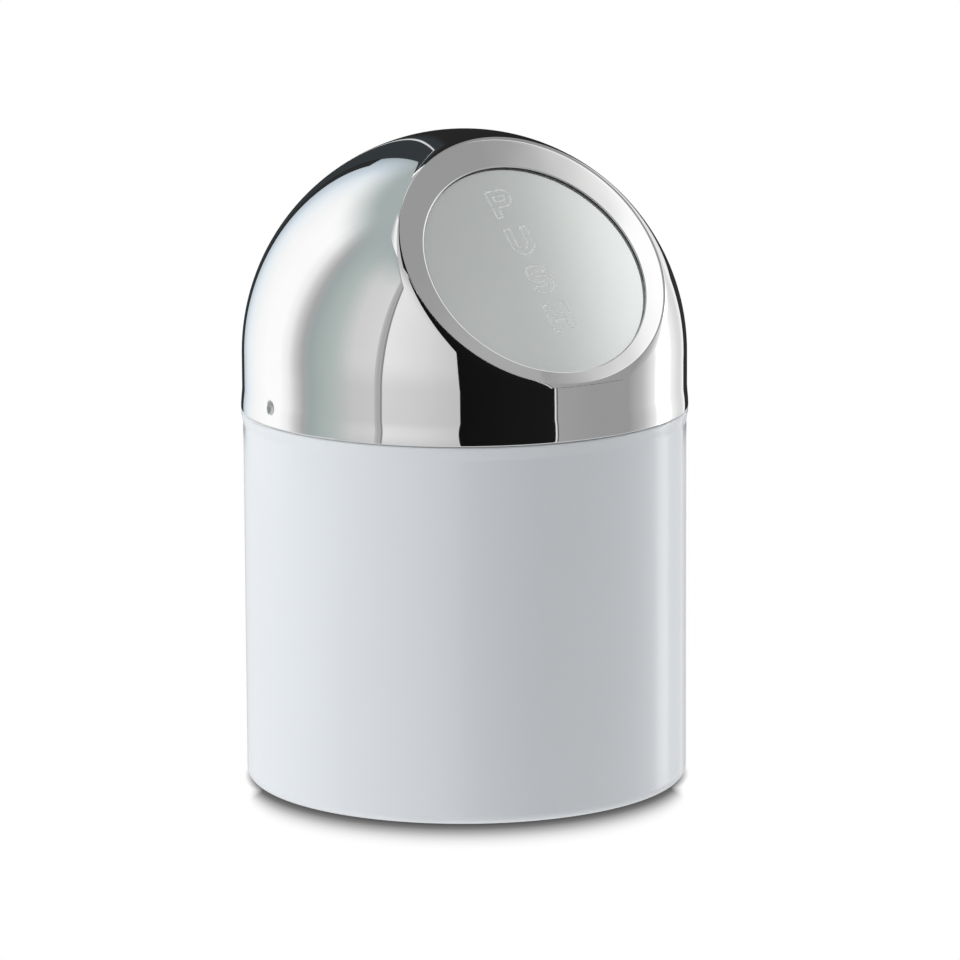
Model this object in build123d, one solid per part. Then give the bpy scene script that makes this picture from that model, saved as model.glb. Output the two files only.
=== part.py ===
from build123d import *
import os
from math import asin, cos, degrees, radians, sin, sqrt

# Push top countertop bin: a coated steel canister, a lift-off polished dome lid with a
# flat facet, and a push flap that hangs behind the facet's round opening on a sprung
# hinge.  Millimetres, +Z up, front toward -Y, origin on the floor under the middle.

# ---- driving dimensions ------------------------------------------------------------
BODY_R = 59.85              # outer radius of the canister's wall
BODY_SHEET = 0.7            # canister and base sheet
BODY_BOTTOM_Z = 0.5         # underside of the canister's turned-in lower edge
BODY_TOP_Z = 102.3          # top of the canister's turned-in rim
BOTTOM_ROLL = 2.5           # outer radius of the lower edge
RIM_ROLL = 0.8              # outer radius of the upper edge
RIM_BEAD = 0.45             # how far the rim swells past the wall
RIM_SWELL = 3.0             # height over which it swells
RIM_LIP_R = 57.0            # inner radius of the rim's turned-down lip

DOME_R = 60.0               # outer radius of the dome and its skirt
LID_SHEET = 0.5             # polished dome sheet
LID_BOTTOM_Z = 102.45       # lower edge of the dome's skirt
SPHERE_Z = 117.0            # height of the dome's centre
HEM_SWELL = 0.35            # how far the skirt's hem flares past the dome
HEM_SWELL_Z = 108.5         # where the flare starts
HEM_Z = 102.73              # where it is widest
HEM_ROLL = 0.8              # outer radius of the hem's bottom edge
DIMPLE_Z = 107.5            # height of the two dimples that lock the collar
DIMPLE_R = 1.9
DIMPLE_DEPTH = 0.6

FACET_TILT = 40.1           # elevation of the facet's outward normal, degrees
FACET_OUT = 46.0            # facet plane's distance from the dome's centre
FACET_ROLL = 2.0            # rounding between facet and dome
OPENING_R = 31.85
OPENING_DROP = 2.5          # opening's centre below the facet's centre, along the slope

FLAP_R = 33.6
FLAP_SHEET = 0.6
FLAP_SETBACK = 0.85         # flap face behind the facet's outer face
FLAP_EDGE_DEPTH = 1.6       # depth of the flap's turned-back edge
OPEN_ANGLE = 65.0           # flap travel, degrees

PIN_R = 1.25
PIN_UP = 32.0               # hinge axis above the facet's centre, along the slope
PIN_BACK = 3.65             # hinge axis behind the facet's outer face
PIN_FIT = 0.05              # radial play of the flap's ears on the pin

COLLAR_R = 59.2             # plastic collar's outer radius inside the skirt
COLLAR_BORE_R = 55.0
COLLAR_WALL = 1.8
COLLAR_TOP_Z = 111.5
COLLAR_BOTTOM_Z = 95.0
FIT_GAP = 0.3               # play between the collar's plug and the rim's lip
SEAT_GAP = 0.1              # the collar's web above the rim

# ---- frames ------------------------------------------------------------------------
TILT = radians(FACET_TILT)
NORMAL = Vector(0, -cos(TILT), sin(TILT))
UP_SLOPE = Vector(0, sin(TILT), cos(TILT))
DOME_CENTRE = Vector(0, 0, SPHERE_Z)
# Facet frame: x across, y up the slope, z outward, origin on the facet's outer face.
FACET = Plane(origin=DOME_CENTRE + NORMAL * FACET_OUT, x_dir=(1, 0, 0), z_dir=NORMAL)
# Flap frame: the same, about the centre of the opening.
FLAP = Plane(origin=FACET.origin - UP_SLOPE * OPENING_DROP, x_dir=(1, 0, 0), z_dir=NORMAL)
# Hinge frame: x up the slope, y outward, z along the pin (the bin's +X).
HINGE = Plane(
    origin=FACET.origin + UP_SLOPE * PIN_UP - NORMAL * PIN_BACK,
    x_dir=UP_SLOPE,
    z_dir=(1, 0, 0),
)


# ---- helpers -----------------------------------------------------------------------
def spun(face):
    """Revolve a face drawn as (radius, height) about the bin's axis, with its seam at the back."""
    return revolve(Plane.YZ * face, Axis.Z)


def spun_sheet(middle_line, thickness):
    """Spin a sheet whose middle line is drawn as (radius, height)."""
    return spun(trace(middle_line, thickness))


def ring(outer, inner, bottom, top):
    """A plain ring about the bin's axis."""
    return spun(Pos((outer + inner) / 2, (top + bottom) / 2) * Rectangle(outer - inner, top - bottom))


def plate(outline, thickness, z):
    """Extrude an outline upward from height z of its own frame."""
    return Pos(0, 0, z) * extrude(outline, thickness)


# ---- canister ----------------------------------------------------------------------
def make_body_tube():
    """Rolled wall with its lower edge turned in and its rim swelled, turned in and down."""
    half = BODY_SHEET / 2
    wall_r = BODY_R - half
    foot_r = BODY_R - BOTTOM_ROLL
    foot_z = BODY_BOTTOM_Z + half
    roll = BOTTOM_ROLL - half
    flange = Line((FOOT_RING_R + 0.2, foot_z), (foot_r, foot_z))
    corner = CenterArc((foot_r, foot_z + roll), roll, -90, 90)
    bead_z = BODY_TOP_Z - RIM_ROLL
    swell_z = bead_z - RIM_SWELL
    wall = Line((wall_r, foot_z + roll), (wall_r, swell_z))
    swell = Spline(
        (wall_r, swell_z),
        (wall_r + RIM_BEAD, bead_z),
        tangents=((0, 1), (0, 1)),
    )
    rim_roll = RIM_ROLL - half
    shoulder = CenterArc((wall_r + RIM_BEAD - rim_roll, bead_z), rim_roll, 0, 90)
    lip_r = RIM_LIP_R + half
    lip_roll = 0.5
    top_z = BODY_TOP_Z - half
    seat = Line((wall_r + RIM_BEAD - rim_roll, top_z), (lip_r + lip_roll, top_z))
    lip_bend = CenterArc((lip_r + lip_roll, top_z - lip_roll), lip_roll, 90, 90)
    lip = Line((lip_r, top_z - lip_roll), (lip_r, top_z - 1.9))
    return spun_sheet(flange + corner + wall + swell + shoulder + seat + lip_bend + lip, BODY_SHEET)


FOOT_RING_R = 56.0
FOOT_RING_BORE_R = 51.2
BASE_EDGE_Z = BODY_BOTTOM_Z + BODY_SHEET        # underside of the base's edge
BASE_PANEL_RISE = 2.2                           # how far the base's panel is pressed up


def make_body_base():
    """Pressed steel floor: a flat edge on the canister's flange and a raised panel."""
    edge_z = BASE_EDGE_Z + BODY_SHEET / 2
    panel_z = edge_z + BASE_PANEL_RISE
    bead_z = panel_z - 0.9
    rise = 1.4
    line = Polyline(
        (0, bead_z),
        (27.0, bead_z),
        (27.0 + rise, panel_z),
        (49.2, panel_z),
        (49.2 + rise, edge_z),
        (BODY_R - BOTTOM_ROLL - 0.1, edge_z),
    )
    half = BODY_SHEET / 2
    inner = [(p.X, p.Y + half) for p in line.vertices()]
    outer = [(p.X, p.Y - half) for p in line.vertices()]
    section = make_face(Polyline(*inner, *reversed(outer), close=True))
    return spun(section)


def make_foot_ring():
    """Soft ring under the base that the bin stands on."""
    foot = ring(FOOT_RING_R, FOOT_RING_BORE_R, 0, BASE_EDGE_Z)
    return fillet(foot.edges().group_by(Axis.Z)[0], 0.35)


# ---- lid ---------------------------------------------------------------------------
def dome_block(inset):
    """Solid dome with its facet and hemmed skirt, drawn inset from the outer face."""
    radius = DOME_R - inset
    roll = HEM_ROLL - inset
    hem_r = radius + HEM_SWELL
    turn = degrees(asin((HEM_Z - LID_BOTTOM_Z) / roll))
    hem = CenterArc((hem_r - roll, HEM_Z), roll, -turn, turn)
    swell = Spline((hem_r, HEM_Z), (radius, HEM_SWELL_Z), tangents=((0, 1), (0, 1)))
    outline = (
        Line((0, LID_BOTTOM_Z), hem @ 0)
        + hem
        + swell
        + Line((radius, HEM_SWELL_Z), (radius, SPHERE_Z))
        + CenterArc((0, SPHERE_Z), radius, 0, 90)
        + Line((0, SPHERE_Z + radius), (0, LID_BOTTOM_Z))
    )
    block = spun(make_face(outline))
    facet_out = FACET_OUT - inset
    block -= FACET * Pos(0, 0, DOME_R / 2 - inset) * Box(2 * DOME_R, 2 * DOME_R, DOME_R)
    facet_r = sqrt(radius ** 2 - facet_out ** 2)
    edge = [e for e in block.edges().filter_by(GeomType.CIRCLE) if abs(e.radius - facet_r) < 0.01]
    return fillet(edge, FACET_ROLL - inset)


def make_lid_dome():
    """Pressed dome: facet with its round opening, hemmed skirt and two collar dimples."""
    dome = dome_block(0) - dome_block(LID_SHEET)
    dome -= FLAP * Pos(0, 0, -1) * Cylinder(OPENING_R, 6)
    ball_r = (DIMPLE_R ** 2 + DIMPLE_DEPTH ** 2) / (2 * DIMPLE_DEPTH)
    ball_x = DOME_R - DIMPLE_DEPTH + ball_r
    core = dome_block(LID_SHEET / 2)
    for side in (1, -1):
        ball = Pos(side * ball_x, 0, DIMPLE_Z)
        dome += (ball * Sphere(ball_r + LID_SHEET)) & core
        dome -= ball * Sphere(ball_r)
    return dome


def make_lid_collar():
    """Plastic collar: a band inside the skirt, a web on the rim and a plug in the canister."""
    plug_r = RIM_LIP_R - FIT_GAP
    band_bore_r = COLLAR_R - COLLAR_WALL
    seat_z = BODY_TOP_Z + SEAT_GAP
    lead = 0.9
    section = make_face(
        Polyline(
            (band_bore_r, COLLAR_TOP_Z),
            (COLLAR_R, COLLAR_TOP_Z),
            (COLLAR_R, seat_z),
            (plug_r, seat_z),
            (plug_r, COLLAR_BOTTOM_Z + 1.5),
            (plug_r - lead, COLLAR_BOTTOM_Z),
            (COLLAR_BORE_R, COLLAR_BOTTOM_Z),
            (COLLAR_BORE_R, seat_z + COLLAR_WALL - lead),
            (COLLAR_BORE_R + lead, seat_z + COLLAR_WALL),
            (band_bore_r, seat_z + COLLAR_WALL),
            close=True,
        )
    )
    collar = spun(section)
    pocket = Rot(0, 90, 0) * Cylinder(DIMPLE_R + 0.8, 2 * (DOME_R + 1))
    core = Pos(0, 0, DIMPLE_Z) * Cylinder(DOME_R - DIMPLE_DEPTH - LID_SHEET - 0.3, 12)
    return collar - (Pos(0, 0, DIMPLE_Z) * pocket - core)


# ---- hinge, fixed half -------------------------------------------------------------
STRIP_SHEET = 0.6
STRIP_LOW = PIN_UP - 0.6            # strip's lower edge, up the slope from the facet's centre
STRIP_HIGH = PIN_UP + 2.9
EAR_SHEET = 0.8
EAR_INNER_X = 10.4                  # inner face of the bracket's ears
BRACKET_HALF = EAR_INNER_X + EAR_SHEET
STRIP_BACK = PIN_BACK - LID_SHEET - STRIP_SHEET     # strip's back face from the pin's axis


def make_hinge_bracket():
    """Bent steel bracket, spot-welded behind the facet, that holds the pin in two ears."""
    strip = Pos(0, (STRIP_LOW + STRIP_HIGH) / 2) * Rectangle(2 * BRACKET_HALF, STRIP_HIGH - STRIP_LOW)
    flat_r = sqrt((DOME_R - FACET_ROLL) ** 2 - (FACET_OUT - FACET_ROLL) ** 2)
    strip &= Circle(flat_r - 0.3)
    bracket = FACET * plate(strip, STRIP_SHEET, -LID_SHEET - STRIP_SHEET)
    foot_low = STRIP_LOW - PIN_UP
    foot_high = 1.75
    foot_mid = (foot_low + foot_high) / 2
    foot_out = STRIP_BACK + STRIP_SHEET / 2
    foot = Pos(foot_mid, foot_out) * Rectangle(foot_high - foot_low, STRIP_SHEET)
    boss = Circle(2.6)
    ear = make_hull(foot.edges() + boss.edges()) - Circle(PIN_R + 0.03)
    for z in (EAR_INNER_X, -BRACKET_HALF):
        bracket += HINGE * plate(ear, EAR_SHEET, z)
    return bracket


CLIP_SHEET = 0.5
CLIP_Z = BRACKET_HALF + 0.1         # inner face of the retaining clip
GROOVE_R = PIN_R - 0.25
PIN_HEAD = 1.1


def make_hinge_pin():
    """Headed pin with a groove for its retaining clip."""
    end_z = CLIP_Z + CLIP_SHEET + 0.8
    head_z = -BRACKET_HALF - 0.1
    shank = plate(Circle(PIN_R), end_z - head_z, head_z)
    shank = chamfer(shank.edges().group_by(Axis.Z)[-1], 0.3)
    head = plate(Circle(2.1), PIN_HEAD, head_z - PIN_HEAD)
    head = fillet(head.edges().group_by(Axis.Z)[0], 0.6)
    groove = plate(Circle(PIN_R + 1) - Circle(GROOVE_R), CLIP_SHEET + 0.1, CLIP_Z - 0.05)
    return HINGE * (shank + head - groove)


def make_pin_clip():
    """Open retaining clip snapped into the pin's groove."""
    clip = Circle(2.5) - Circle(GROOVE_R + 0.02)
    mouth = Pos(-1.6, 0) * Rectangle(3.2, 2 * GROOVE_R * 0.85)
    notch = PolarLocations(2.0, 2, start_angle=60, angular_range=240) * Circle(0.45)
    return HINGE * plate(clip - mouth - notch, CLIP_SHEET, CLIP_Z)


# ---- springs -----------------------------------------------------------------------
WIRE_R = 0.275
COIL_R = 1.9                        # mean radius of the coil
COIL_PITCH = 0.72
COIL_INNER_Z = 5.3                  # flap end of the right-hand coil
LID_LEG_LEAN = 9.0                  # how far the lid's leg leans toward the strip, degrees
COIL_TURNS = 6 - LID_LEG_LEAN / 360
FLAP_LEG = 10.5
LID_LEG = 2.5


def make_torsion_spring():
    """Right-hand spring: one leg bears on the bracket's strip, the other on the flap's back."""
    helix = Helix(COIL_PITCH, COIL_TURNS * COIL_PITCH, COIL_R, lefthand=True)
    helix = Pos(0, 0, COIL_INNER_Z) * Rot(0, 0, 90) * helix
    inner = helix @ 0
    outer = helix @ 1
    lean = radians(LID_LEG_LEAN)
    flap_leg = Line(inner - Vector(FLAP_LEG, 0, 0), inner)
    lid_leg = Line(outer, outer + Vector(cos(lean), sin(lean), 0) * LID_LEG)
    path = Wire([flap_leg.edge(), helix.edge(), lid_leg.edge()])
    section = Plane(origin=path @ 0, z_dir=path % 0) * Circle(WIRE_R)
    return HINGE * sweep(section, path=path, transition=Transition.TRANSFORMED, is_frenet=True)


# ---- flap --------------------------------------------------------------------------
LEAF_SHEET = 0.7
LEAF_EAR_SHEET = 0.8
LEAF_EAR_X = 3.6                    # inner face of the leaf's ears
HINGE_RELIEF = 10.4                 # half-width of the gap in the flap's edge at the hinge
HEEL_REACH = 3.3                    # heel's centre from the pin's axis
HEEL_R = 0.3


def make_flap_disc():
    """Pressed disc with a turned-back edge, which is cut away beside the hinge."""
    half = FLAP_SHEET / 2
    bend = 0.6
    edge_r = FLAP_R - half
    face_z = -FLAP_SETBACK - half
    back_z = -FLAP_SETBACK - FLAP_EDGE_DEPTH
    line = (
        Line((0, face_z), (edge_r - bend, face_z))
        + CenterArc((edge_r - bend, face_z - bend), bend, 90, -90)
        + Line((edge_r, face_z - bend), (edge_r, back_z))
    )
    disc = spun_sheet(line, FLAP_SHEET)
    relief_z = -FLAP_SETBACK - FLAP_SHEET
    relief = Pos(0, FLAP_R, relief_z - 2.5) * Box(2 * HINGE_RELIEF, 12, 5)
    return FLAP * (disc - relief)


def make_hinge_leaf():
    """Bent steel leaf on the flap's back, with two ears that turn on the pin.

    A heel on each ear meets the bracket's strip and stops the flap at full opening.
    """
    back = PIN_BACK - FLAP_SETBACK - FLAP_SHEET         # flap's back face from the pin's axis
    top = -3.4                                          # leaf's upper edge from the pin's axis
    neck_length = 12.0
    foot_length = 6.0
    foot_width = 24.0
    neck_width = 2 * (LEAF_EAR_X + LEAF_EAR_SHEET)
    neck = Pos(0, top - neck_length / 2) * Rectangle(neck_width, neck_length)
    foot = Pos(0, top - neck_length) * RectangleRounded(foot_width, foot_length, 2.0)
    pad_z = -FLAP_SETBACK - FLAP_SHEET - LEAF_SHEET
    leaf = FACET * Pos(0, PIN_UP) * plate(neck + foot, LEAF_SHEET, pad_z)
    turn = degrees(asin((STRIP_BACK - HEEL_R) / HEEL_REACH)) - OPEN_ANGLE - 1.2
    heel_at = Pos(HEEL_REACH * cos(radians(turn)), HEEL_REACH * sin(radians(turn)))
    boss = Circle(2.1)
    heel = heel_at * Circle(HEEL_R)
    root = Line((top - 9, back - LEAF_SHEET), (top, back - LEAF_SHEET))
    ear = make_hull(boss.edges() + root.edges())
    ear += make_hull(boss.edges() + heel.edges())
    ear += Pos(top - 4.5, back - LEAF_SHEET / 2) * Rectangle(9, LEAF_SHEET)
    ear -= Circle(PIN_R + PIN_FIT)
    for z in (LEAF_EAR_X, -LEAF_EAR_X - LEAF_EAR_SHEET):
        leaf += HINGE * plate(ear, LEAF_EAR_SHEET, z)
    return leaf


def make_buffer_pads():
    """Three soft arcs on the facet's back that the flap's edge closes against."""
    thickness = FLAP_SETBACK - LID_SHEET - 0.05
    band = Circle(FLAP_R - 0.3) - Circle(OPENING_R + 0.4)
    pads = []
    for angle in (-160, -90, -20):
        window = Rot(0, 0, angle) * Pos(FLAP_R, 0) * Rectangle(6, 9)
        pads.append(FLAP * plate(band & window, thickness, -LID_SHEET - thickness))
    return Compound(children=pads)


# ---- write -------------------------------------------------------------------------
spring = make_torsion_spring()
parts = {
    "body_tube": make_body_tube(),
    "body_base": make_body_base(),
    "foot_ring": make_foot_ring(),
    "lid_dome": make_lid_dome(),
    "lid_collar": make_lid_collar(),
    "hinge_bracket": make_hinge_bracket(),
    "hinge_pin": make_hinge_pin(),
    "pin_clip": make_pin_clip(),
    "torsion_spring_right": spring,
    "torsion_spring_left": mirror(spring, about=Plane.YZ),
    "flap_buffer_pads": make_buffer_pads(),
    "flap_disc": make_flap_disc(),
    "hinge_leaf": make_hinge_leaf(),
}

os.makedirs("parts", exist_ok=True)
for name, shape in parts.items():
    export_step(shape, f"parts/{name}.step")
print("hinge axis", tuple(round(value, 4) for value in HINGE.origin))
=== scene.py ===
from math import asin, atan2, cos, exp, hypot, log, pi, radians, sin, sqrt

import bmesh
import bpy
from mathutils import Matrix, Vector
from mathutils.geometry import delaunay_2d_cdt


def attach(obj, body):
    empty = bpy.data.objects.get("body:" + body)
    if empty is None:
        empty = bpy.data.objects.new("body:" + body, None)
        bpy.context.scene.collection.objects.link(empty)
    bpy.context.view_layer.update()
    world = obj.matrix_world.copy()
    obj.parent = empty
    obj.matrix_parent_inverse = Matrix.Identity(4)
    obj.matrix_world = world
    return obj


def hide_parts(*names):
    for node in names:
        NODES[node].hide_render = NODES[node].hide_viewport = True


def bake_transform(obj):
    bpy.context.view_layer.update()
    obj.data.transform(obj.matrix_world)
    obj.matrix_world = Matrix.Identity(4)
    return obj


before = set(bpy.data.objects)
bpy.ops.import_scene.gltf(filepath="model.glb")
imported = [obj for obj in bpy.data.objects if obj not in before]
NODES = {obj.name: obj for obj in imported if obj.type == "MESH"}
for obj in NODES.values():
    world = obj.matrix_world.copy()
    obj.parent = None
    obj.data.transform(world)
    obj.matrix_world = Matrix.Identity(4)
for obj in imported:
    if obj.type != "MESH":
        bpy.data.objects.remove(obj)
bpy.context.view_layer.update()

# Push top countertop bin.  Metres, +Z up, front toward -Y; azimuths run from the front
# (0) toward +X (90), in degrees.

# ---- sizes of the sheet metal ------------------------------------------------------
MM = 0.001
DOME_R = 60.0 * MM
LID_SHEET = 0.5 * MM
LID_BOTTOM_Z = 102.45 * MM
SPHERE_Z = 117.0 * MM
HEM_SWELL = 0.35 * MM
HEM_SWELL_Z = 108.5 * MM
HEM_Z = 102.73 * MM
HEM_ROLL = 0.8 * MM
DIMPLE_Z = 107.5 * MM
DIMPLE_R = 1.9 * MM
DIMPLE_DEPTH = 0.6 * MM
DIMPLE_EDGE = 0.05 * MM           # softness of the dimple's rim
DIMPLE_REACH = 2 * DIMPLE_R       # how far from its middle a dimple changes the skirt
SKIRT_FINE_Z = 110.0 * MM         # below this the skirt's rows are close, for the dimples

FACET_TILT = radians(40.1)
FACET_OUT = 46.0 * MM
FACET_ROLL = 2.0 * MM             # the inner face's roll is this less the sheet
EDGE_ROLL = 0.6 * MM              # crisp first part of the outer face's roll
EDGE_TURN = radians(25)           # how far it turns
SHOULDER_R = 8.0 * MM             # wide shoulder between it and the dome
OPENING_R = 31.85 * MM
OPENING_DROP = 2.5 * MM
OPENING_ROUND = 0.15 * MM         # rounding of the opening's punched edge

FLAP_SETBACK = 0.85 * MM
PIN_UP = 32.0 * MM
PIN_BACK = 3.65 * MM

WIRE_R = 0.275 * MM
COIL_R = 1.9 * MM
COIL_PITCH = 0.72 * MM
COIL_INNER_X = 5.3 * MM
LID_LEG_LEAN = 9.0                # degrees
COIL_TURNS = 6 - LID_LEG_LEAN / 360
FLAP_LEG = 10.5 * MM
LID_LEG = 2.5 * MM

# The operating legend, engraved as outlines, one letter below the other.
LEGEND_TURN = radians(6.0)          # how far the column of letters leans in the flap's plane
LEGEND_TOP = 25.4 * MM              # top of the first letter above the flap's centre
LEGEND_MIDDLE = 0.6 * MM            # middle of the column from the flap's centre
LETTER_STEP = 12.0 * MM
LETTER_HIGH = 8.2 * MM
LETTER_WIDE = 6.9 * MM
LETTER_STROKE = 1.8 * MM
GROOVE_WIDE = 0.34 * MM
GROOVE_DEEP = 0.13 * MM

# ---- frames ------------------------------------------------------------------------
ACROSS = Vector((1, 0, 0))
NORMAL = Vector((0, -cos(FACET_TILT), sin(FACET_TILT)))
UP_SLOPE = Vector((0, sin(FACET_TILT), cos(FACET_TILT)))
DOME_CENTRE = Vector((0, 0, SPHERE_Z))
FACET_CENTRE = DOME_CENTRE + NORMAL * FACET_OUT
FLAP_CENTRE = FACET_CENTRE - UP_SLOPE * OPENING_DROP - NORMAL * FLAP_SETBACK
HINGE_CENTRE = FACET_CENTRE + UP_SLOPE * PIN_UP - NORMAL * PIN_BACK

# ---- camera ------------------------------------------------------------------------
CAMERA_AZIMUTH = radians(-30.82)
CAMERA_AWAY = 28 * DOME_R
CAMERA_HEIGHT = 7.008 * DOME_R
CAMERA_PITCH = radians(11.41)
CAMERA_ROLL = radians(0.32)
FOCAL_LENGTH = 237.43               # on a sensor 36 wide
SHIFT_X = 0.0155
SHIFT_Y = 0.0005


def place_camera():
    data = bpy.data.cameras.new("camera")
    data.sensor_width = 36.0
    data.lens = FOCAL_LENGTH
    data.shift_x = SHIFT_X
    data.shift_y = SHIFT_Y
    data.clip_start = 0.05
    data.clip_end = 30.0
    camera = bpy.data.objects.new("camera", data)
    bpy.context.scene.collection.objects.link(camera)
    spot = (
        CAMERA_AWAY * sin(CAMERA_AZIMUTH),
        -CAMERA_AWAY * cos(CAMERA_AZIMUTH),
        CAMERA_HEIGHT,
    )
    turn = Matrix.Rotation(CAMERA_AZIMUTH, 4, "Z")
    pitch = Matrix.Rotation(pi / 2 - CAMERA_PITCH, 4, "X")
    roll = Matrix.Rotation(-CAMERA_ROLL, 4, "Z")
    camera.matrix_world = Matrix.Translation(spot) @ turn @ pitch @ roll
    bpy.context.scene.camera = camera


# ---- shader helpers ----------------------------------------------------------------
class Shader:
    """A new material's node tree, with short calls to add and join nodes."""

    def __init__(self, name):
        self.material = bpy.data.materials.new(name)
        self.material.use_nodes = True
        self.tree = self.material.node_tree
        self.tree.nodes.clear()
        self.output = self.tree.nodes.new("ShaderNodeOutputMaterial")

    def add(self, kind, settings=None, **values):
        """Add a node: settings are its properties, values its inputs, linked if sockets."""
        node = self.tree.nodes.new("ShaderNode" + kind)
        for key, value in (settings or {}).items():
            setattr(node, key, value)
        for key, value in values.items():
            socket = node.inputs[key.replace("_", " ")]
            if isinstance(value, bpy.types.NodeSocket):
                self.tree.links.new(value, socket)
            else:
                socket.default_value = value
        return node

    def math(self, operation, first, second=0.0, clamp=False):
        node = self.tree.nodes.new("ShaderNodeMath")
        node.operation = operation
        node.use_clamp = clamp
        for socket, value in zip(node.inputs, (first, second)):
            if isinstance(value, bpy.types.NodeSocket):
                self.tree.links.new(value, socket)
            else:
                socket.default_value = value
        return node.outputs[0]

    def ramp(self, factor, stops, smooth=False):
        """Map factor through (place, tone or colour) stops."""
        node = self.tree.nodes.new("ShaderNodeValToRGB")
        node.color_ramp.interpolation = "EASE" if smooth else "LINEAR"
        elements = node.color_ramp.elements
        while len(elements) > 1:
            elements.remove(elements[-1])
        for index, (place, tone) in enumerate(stops):
            element = elements[0] if index == 0 else elements.new(place)
            element.position = place
            colour = tone if isinstance(tone, tuple) else (tone, tone, tone)
            element.color = (*colour, 1.0)
        self.tree.links.new(factor, node.inputs[0])
        return node.outputs[0]

    def noise(self, scale, detail=2.0, roughness=0.5, vector=None):
        node = self.add("TexNoise", Scale=scale, Detail=detail, Roughness=roughness)
        if vector is None:
            vector = self.add("TexCoord").outputs["Object"]
        self.tree.links.new(vector, node.inputs["Vector"])
        return node.outputs["Fac"]

    def stretched(self, scales):
        """Object coordinates scaled by (x, y, z)."""
        coordinates = self.add("TexCoord").outputs["Object"]
        return self.add("Mapping", Vector=coordinates, Scale=scales).outputs["Vector"]

    def bump(self, height, distance):
        return self.add("Bump", Height=height, Distance=distance).outputs["Normal"]

    def finish(self, surface):
        self.tree.links.new(surface.outputs[0], self.output.inputs["Surface"])
        return self.material


def spread(shader, factor, low, high):
    """Map a 0..1 factor to low..high."""
    return shader.add("MapRange", Value=factor, To_Min=low, To_Max=high).outputs[0]


# ---- materials ---------------------------------------------------------------------
def mirror_steel():
    """Polished stainless: near mirror, with the slow waver of pressed sheet and faint haze."""
    s = Shader("mirror_steel")
    waver = s.noise(38.0, 1.0)
    haze = s.noise(900.0, 3.0, 0.6)
    smears = s.noise(60.0, 4.0, 0.6)
    rough = s.math("ADD", spread(s, haze, 0.012, 0.026), spread(s, smears, 0.0, 0.014))
    colour = s.ramp(smears, [(0.3, (0.90, 0.905, 0.905)), (0.7, (0.93, 0.93, 0.925))])
    return s.finish(
        s.add(
            "BsdfPrincipled",
            Base_Color=colour,
            Metallic=1.0,
            Roughness=rough,
            Normal=s.bump(waver, 0.00010),
        )
    )


def drawn_steel():
    """Unpolished inside of the dome: dull, with fine drawing marks down the wall."""
    s = Shader("drawn_steel")
    marks = s.noise(260.0, 3.0, 0.6, s.stretched((1.0, 1.0, 0.12)))
    return s.finish(
        s.add(
            "BsdfPrincipled",
            Base_Color=s.ramp(marks, [(0.3, (0.56, 0.57, 0.57)), (0.7, (0.68, 0.69, 0.69))]),
            Metallic=1.0,
            Roughness=spread(s, marks, 0.24, 0.40),
            Normal=s.bump(marks, 0.00002),
        )
    )


def pressed_steel_and_painted_shade():
    """The dimples' faces, dulled by the punch and darkened as painted shade."""
    s = Shader("pressed_steel_and_painted_shade")
    marks = s.noise(2500.0, 3.0)
    return s.finish(
        s.add(
            "BsdfPrincipled",
            Base_Color=s.ramp(marks, [(0.3, (0.48, 0.50, 0.51)), (0.7, (0.54, 0.56, 0.57))]),
            Metallic=1.0,
            Roughness=spread(s, marks, 0.22, 0.32),
        )
    )


def punched_edge_painted_shade():
    """Raw punched edge of the opening: dull, and near black as painted shade in the flap's gap."""
    s = Shader("punched_edge_painted_shade")
    marks = s.noise(1500.0, 3.0, 0.6)
    return s.finish(
        s.add(
            "BsdfPrincipled",
            Base_Color=s.ramp(marks, [(0.3, (0.012, 0.012, 0.012)), (0.7, (0.02, 0.02, 0.02))]),
            Roughness=spread(s, marks, 0.5, 0.65),
            Specular_IOR_Level=0.2,
        )
    )


def satin_steel():
    """The flap: bead-finished stainless under a clear protective lacquer."""
    s = Shader("satin_steel")
    grain = s.noise(5200.0, 2.0)
    cloud = s.noise(45.0, 3.0)
    return s.finish(
        s.add(
            "BsdfPrincipled",
            Base_Color=s.ramp(cloud, [(0.3, (0.915, 0.95, 0.93)), (0.7, (0.935, 0.97, 0.95))]),
            Metallic=0.75,
            Roughness=spread(s, grain, 0.05, 0.08),
            Normal=s.bump(grain, 0.000003),
        )
    )


def etched_steel(name, tone):
    """Frosted walls of the legend's grooves; a lit and a shaded copy paint their light and shade."""
    s = Shader(name)
    frost = s.noise(9000.0, 2.0)
    duller = (0.95 * tone, 0.97 * tone, 0.96 * tone)
    return s.finish(
        s.add(
            "BsdfPrincipled",
            Base_Color=s.ramp(frost, [(0.3, duller), (0.7, tone)]),
            Roughness=spread(s, frost, 0.5, 0.65),
        )
    )


def white_lacquer():
    """Stoved white coat: smooth gloss with a faint orange peel."""
    s = Shader("white_lacquer")
    peel = s.noise(420.0, 2.0)
    drift = s.noise(14.0, 2.0)
    return s.finish(
        s.add(
            "BsdfPrincipled",
            Base_Color=s.ramp(drift, [(0.3, (0.775, 0.803, 0.838)), (0.7, (0.79, 0.818, 0.853))]),
            Roughness=spread(s, peel, 0.10, 0.16),
            IOR=1.5,
            Normal=s.bump(peel, 0.000006),
        )
    )


def coated_base():
    """The base's thinner white coat, a little duller than the wall's."""
    s = Shader("coated_base")
    peel = s.noise(700.0, 3.0)
    return s.finish(
        s.add(
            "BsdfPrincipled",
            Base_Color=s.ramp(peel, [(0.3, (0.70, 0.72, 0.73)), (0.7, (0.74, 0.76, 0.77))]),
            Roughness=spread(s, peel, 0.30, 0.42),
            Normal=s.bump(peel, 0.00001),
        )
    )


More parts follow.
